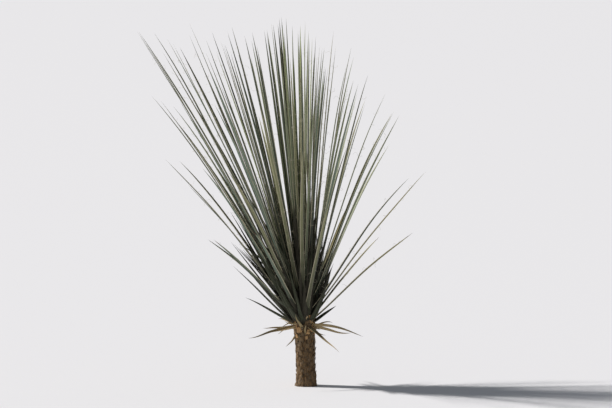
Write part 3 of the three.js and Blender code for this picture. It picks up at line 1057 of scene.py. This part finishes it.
def fibre_effect():
    """Fine veins that run along a leaf, and slow changes of shade along and between leaves."""
    inputs = {
        "Place": (0.0, 0.0, 0.0),
        "Colour": colour(GREY_GREEN),
        "Vein Colour": colour(PALE_EDGE),
        "Vein Strength": 0.3,
        "Shade Strength": 0.3,
        "Painted Shade At Foot": 0.0,
    }
    outputs = {"Colour": "NodeSocketColor", "Height": "NodeSocketFloat", "Shade": "NodeSocketFloat"}
    group, given, result = new_effect("leaf fibres", inputs, outputs)
    veins = vector_calc(group, "MULTIPLY", given["Place"], VEIN_WAVES)
    vein = noise(group, veins, 1.0, 2.0)
    patches = vector_calc(group, "MULTIPLY", given["Place"], PATCH_WAVES)
    shade = ranged(group, noise(group, patches, 1.0, 3.0), *PATCH_RANGE)
    dark = mixed(group, 1.0, given["Colour"], PATCH_TINT, "MULTIPLY")
    toned = mixed(group, times(group, shade, given["Shade Strength"]), given["Colour"], dark)
    # Painted shade: the colour darkens towards the leaf's root, where the crown's foot is in shadow
    from_root = parts_of(group, given["Place"])["Y"]
    foot = ranged(group, from_root, *PAINTED_SHADE_REACH, 1.0, 0.0, interpolation_type="SMOOTHSTEP")
    deep = mixed(group, 1.0, toned, PAINTED_SHADE_TINT, "MULTIPLY")
    toned = mixed(group, times(group, foot, given["Painted Shade At Foot"]), toned, deep)
    lined = times(group, calc(group, "SUBTRACT", vein, VEIN_LEVEL), given["Vein Strength"])
    group.links.new(mixed(group, lined, toned, given["Vein Colour"]), result["Colour"])
    group.links.new(vein, result["Height"])
    group.links.new(shade, result["Shade"])
    return group


def dust_effect():
    """Pale sand dust that lies on what faces up."""
    inputs = {
        "Colour": colour(GREY_GREEN),
        "Dust Colour": colour(SAND_DUST),
        "Amount": 0.3,
        "Scale": DUST_WAVES,
    }
    outputs = {"Colour": "NodeSocketColor", "Mask": "NodeSocketFloat"}
    group, given, result = new_effect("sand dust", inputs, outputs)
    place = group.nodes.new("ShaderNodeTexCoord").outputs["Object"]
    grains = noise(group, place, given["Scale"], 4.0)
    normal = group.nodes.new("ShaderNodeNewGeometry").outputs["Normal"]
    lying = ranged(group, parts_of(group, normal)["Z"], *DUST_FACING, DUST_ON_UNDERSIDES)
    spread = ranged(group, grains, *DUST_RANGE)
    mask = times(group, times(group, lying, spread), given["Amount"])
    group.links.new(mixed(group, mask, given["Colour"], given["Dust Colour"]), result["Colour"])
    group.links.new(mask, result["Mask"])
    return group


def placed(tree, group, fed):
    """One use of a shader group in a material, with its own values."""
    node = tree.nodes.new("ShaderNodeGroup")
    node.node_tree = group
    for key, value in fed.items():
        feed(tree, node.inputs[key], value)
    return node.outputs


def new_material(name):
    """A new material, its node tree and the shader in it."""
    material = bpy.data.materials.new(name)
    material.use_nodes = True
    tree = material.node_tree
    shader = next(node for node in tree.nodes if node.type == "BSDF_PRINCIPLED")
    return material, tree, shader


def leaf_material(
    name, code, effects, vein=0.3, shade=0.35, foot=0.0, dust=0.3, roughness=0.5, bump=0.25
):
    """A leaf's skin: veins along it, slow changes of shade, a dusting of sand and a waxy gloss."""
    material, tree, shader = new_material(name)
    place = tree.nodes.new("ShaderNodeAttribute")
    place.attribute_name = "leaf_place"
    fibres = placed(tree, effects["fibres"], {
        "Place": place.outputs["Vector"],
        "Colour": colour(code),
        "Vein Strength": vein,
        "Shade Strength": shade,
        "Painted Shade At Foot": foot,
    })
    dusted = placed(tree, effects["dust"], {"Colour": fibres["Colour"], "Amount": dust})
    tree.links.new(dusted["Colour"], shader.inputs["Base Color"])
    rough = calc(tree, "MULTIPLY_ADD", fibres["Shade"], PATCH_ROUGHNESS, roughness)
    rough = calc(tree, "MULTIPLY_ADD", dusted["Mask"], DUST_ROUGHNESS, rough)
    tree.links.new(rough, shader.inputs["Roughness"])
    fed = {"Strength": bump, "Distance": VEIN_DEPTH, "Height": fibres["Height"]}
    tree.links.new(add(tree, "ShaderNodeBump", fed), shader.inputs["Normal"])
    return material


def bark_material(name, browns, effects, dust=0.2, grain_waves=LEAF_BASE_GRAIN):
    """Corky bark: dark cracks, lighter weathered plates, and dust."""
    material, tree, shader = new_material(name)
    place = tree.nodes.new("ShaderNodeTexCoord").outputs["Object"]
    drawn_out = vector_calc(tree, "MULTIPLY", place, (1.0, 1.0, GRAIN_DRAWN_OUT))
    grain = noise(tree, drawn_out, grain_waves, 6.0)
    patches = noise(tree, place, grain_waves / PATCH_WIDTH, 3.0)
    share = times(tree, patches, 1 - GRAIN_SHARE)
    share = ranged(tree, calc(tree, "MULTIPLY_ADD", grain, GRAIN_SHARE, share), *GRAIN_RANGE)
    dark, light = browns
    dusted = placed(tree, effects["dust"], {
        "Colour": mixed(tree, share, colour(dark), colour(light)),
        "Amount": dust,
        "Scale": BARK_DUST_WAVES,
    })
    tree.links.new(dusted["Colour"], shader.inputs["Base Color"])
    least, more = BARK_ROUGHNESS
    rough = calc(tree, "MULTIPLY_ADD", share, more, least)
    tree.links.new(rough, shader.inputs["Roughness"])
    fed = {"Strength": GRAIN_STRENGTH, "Distance": GRAIN_DEPTH, "Height": grain}
    tree.links.new(add(tree, "ShaderNodeBump", fed), shader.inputs["Normal"])
    return material


def make_materials():
    """Every finish by its name in the trees."""
    effects = {"fibres": fibre_effect(), "dust": dust_effect()}

    def green(name, code, **own):
        return leaf_material(name, code, effects, foot=PAINTED_SHADE_AT_FOOT, **own)

    def thatch(name, code, roughness):
        return leaf_material(name, code, effects, vein=0.2, dust=0.1, roughness=roughness)

    def straw(name, code, roughness):
        own = dict(vein=0.5, shade=0.95, roughness=roughness, bump=0.6)
        return leaf_material(name, code, effects, **own)

    edge = dict(vein=0.1, shade=0.25, roughness=0.7)
    # The dark leaf roots are painted shade, with more painted shade towards the root
    base = dict(vein=0.15, foot=0.5, dust=0.1, roughness=0.6)
    spine = dict(vein=0.1, dust=0.1, roughness=0.55)
    thread = dict(vein=0.0, shade=0.2, roughness=0.7, bump=0.0)
    return {
        "Young Green": green("young_green_leaf", YOUNG_GREEN, dust=0.1, roughness=0.42),
        "Grey Green": green("grey_green_leaf", GREY_GREEN),
        "Olive Green": green("olive_green_leaf", OLIVE_GREEN),
        "Blue Green": green("blue_green_leaf", BLUE_GREEN),
        "Yellowing": green("yellowing_leaf", YELLOWING, roughness=0.6),
        "Dark Green And Shade": green("dark_green_and_shade_leaf", DARK_GREEN_AND_SHADE, dust=0.12),
        "Thatch Brown": thatch("dead_brown_and_shade", DEAD_LEAF_BROWN_AND_SHADE, roughness=0.85),
        "Thatch Olive": thatch("dead_olive_and_shade", DEAD_LEAF_OLIVE_AND_SHADE, roughness=0.8),
        "Pale Edge": leaf_material("pale_leaf_edge", PALE_EDGE, effects, **edge),
        "Base": leaf_material("painted_shade_leaf_base", PAINTED_SHADE_BASE, effects, **base),
        "Spine": leaf_material("brown_leaf_spine", BROWN_SPINE, effects, **spine),
        "Straw": straw("dry_straw", STRAW, roughness=0.8),
        "Grey Straw": straw("grey_straw", GREY_STRAW, roughness=0.85),
        "Thread": leaf_material("edge_thread", THREAD_WHITE, effects, **thread),
        "Bark": bark_material("corky_bark", BARK_BROWNS, effects, grain_waves=BARK_GRAIN),
        "Fresh": bark_material("tan_leaf_base", TAN_BASE_BROWNS, effects),
        "Worn": bark_material("worn_leaf_base", WORN_BASE_BROWNS, effects, dust=0.25),
    }


# The pieces

def dress_stem(finishes):
    bark = grown_by(bark_tree(), stem_lines(), "stem_bark", finishes)
    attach(bark, "root")
    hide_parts("trunk")
    draws = seeded_draws(SCALE_SEED)
    scales = grown_by(leaf_base_tree(), leaf_base_points(draws), "worn_leaf_bases", finishes)
    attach(scales, "root")


def dress_green_leaves(finishes, nodes, blades, draws):
    threads = thread_tree()
    main = grow_spiral()
    leaves = main + grow_slim_leaves(main, draws)
    give_finish(leaves, draws)
    for tier, (youngest, oldest, solid_kind, base_length) in TIERS.items():
        members = [leaf for leaf in leaves if youngest < leaf["age"] <= oldest]
        lines = midrib_mesh(f"{tier}_midribs", members)
        own = {**finishes, "Base Length": base_length}
        piece = grown_by(blades, lines.copy(), f"{tier}_leaves", own)
        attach(piece, "root")
        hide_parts(*[name for name in nodes if name.startswith(solid_kind)])
        fringe = grown_by(threads, lines, f"{tier}_leaf_threads", finishes)
        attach(fringe, "root")


def dress_heart(finishes, blades, draws):
    heart = grow_heart()
    give_finish(heart, draws)
    young = {**finishes, **HEART_BLADES}
    # the heart's leaves take the deep green, a leaf tone that is also painted shade down the middle
    for tone in ("Grey Green", "Olive Green", "Yellowing"):
        young[tone] = finishes["Dark Green And Shade"]
    piece = grown_by(blades, midrib_mesh("heart_midribs", heart), "heart_blades", young)
    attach(piece, "root")
    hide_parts("heart_leaves")


def dress_dry_leaves(finishes, nodes, blades, draws):
    dry = grow_dry_leaves() + grow_stubs()
    give_finish(dry, draws, DRY_WAVE_ANGLE)
    straw = {tone: finishes["Straw"] for tone in (*TONES, "Pale Edge", "Base")}
    for tone in ("Grey Green", "Dark Green And Shade", "Spine"):
        straw[tone] = finishes["Grey Straw"]
    straw.update(DRY_BLADES)
    piece = grown_by(blades, midrib_mesh("dry_midribs", dry), "dry_blades", straw)
    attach(piece, "root")
    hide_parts(*[name for name in nodes if name.startswith("dry_leaf")])


def dress_thatch(finishes, blades, draws):
    thatch = grow_thatch()
    give_finish(thatch, draws)
    # Near-black dead leaves that also stand in for painted shade in the crown's core
    dead = {tone: finishes["Thatch Brown"] for tone in (*TONES, "Pale Edge", "Base", "Spine")}
    for tone in ("Dark Green And Shade", "Olive Green"):
        dead[tone] = finishes["Thatch Olive"]
    dead.update(THATCH_BLADES)
    piece = grown_by(blades, midrib_mesh("thatch_midribs", thatch), "thatch_leaves", dead)
    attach(piece, "root")


def dress_crown(finishes, nodes):
    blades = blade_tree()
    draws = seeded_draws(FINE_SEED)
    dress_green_leaves(finishes, nodes, blades, draws)
    dress_heart(finishes, blades, draws)
    dress_dry_leaves(finishes, nodes, blades, draws)
    dress_thatch(finishes, blades, draws)


# The stage

def aimed(obj, target):
    obj.rotation_mode = "QUATERNION"
    obj.rotation_quaternion = (Vector(target) - obj.location).to_track_quat("-Z", "Y")


def set_camera():
    data = bpy.data.cameras.new("camera")
    data.sensor_width = CAMERA_SENSOR
    data.lens = CAMERA_LENS
    data.clip_start, data.clip_end = CAMERA_CLIP
    camera = bpy.data.objects.new("camera", data)
    bpy.context.scene.collection.objects.link(camera)
    elevation = math.radians(CAMERA_ELEVATION)
    back = Vector((0, -math.cos(elevation), math.sin(elevation)))
    camera.location = Vector(CAMERA_TARGET) + CAMERA_DISTANCE * back
    aimed(camera, CAMERA_TARGET)
    bpy.context.scene.camera = camera


def add_sun():
    """A far light: azimuth 0 shines from the camera's side, and 90 from the viewer's right."""
    data = bpy.data.lights.new("key_light", "SUN")
    data.energy = SUN_STRENGTH
    data.angle = math.radians(SUN_SOFTNESS)
    data.color = SUN_TINT
    sun = bpy.data.objects.new("key_light", data)
    bpy.context.scene.collection.objects.link(sun)
    turn = math.radians(SUN_AZIMUTH)
    rise = math.radians(SUN_ELEVATION)
    out = SUN_DISTANCE * math.cos(rise)
    up = SUN_DISTANCE * math.sin(rise)
    sun.location = (out * math.sin(turn), -out * math.cos(turn), up)
    aimed(sun, (0, 0, 0))


def set_stage():
    bpy.ops.mesh.primitive_circle_add(vertices=FLOOR_SIDES, radius=FLOOR_RADIUS, fill_type="NGON")
    floor = bpy.context.object
    floor.name = "floor"
    material, _, shader = new_material("pale_floor")
    shader.inputs["Base Color"].default_value = colour(FLOOR_WHITE)
    shader.inputs["Roughness"].default_value = FLOOR_ROUGHNESS
    floor.data.materials.append(material)
    world = bpy.data.worlds.new("pale_room")
    bpy.context.scene.world = world
    world.use_nodes = True
    tree = world.node_tree
    seen = tree.nodes.new("ShaderNodeLightPath").outputs["Is Camera Ray"]
    shown = mixed(tree, seen, SKY_LIGHT, BACKDROP)
    tree.links.new(shown, tree.nodes["Background"].inputs["Color"])
    add_sun()
    bpy.context.scene.view_settings.view_transform = "Standard"


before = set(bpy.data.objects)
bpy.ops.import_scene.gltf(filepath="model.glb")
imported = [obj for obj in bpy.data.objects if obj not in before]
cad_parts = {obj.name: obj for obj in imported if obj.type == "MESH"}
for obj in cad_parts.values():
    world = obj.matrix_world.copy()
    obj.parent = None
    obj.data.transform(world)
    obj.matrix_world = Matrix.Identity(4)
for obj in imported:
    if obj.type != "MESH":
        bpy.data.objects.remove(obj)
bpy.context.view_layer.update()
set_camera()
set_stage()
node_names = sorted(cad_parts)
all_finishes = make_materials()
dress_stem(all_finishes)
dress_crown(all_finishes, node_names)
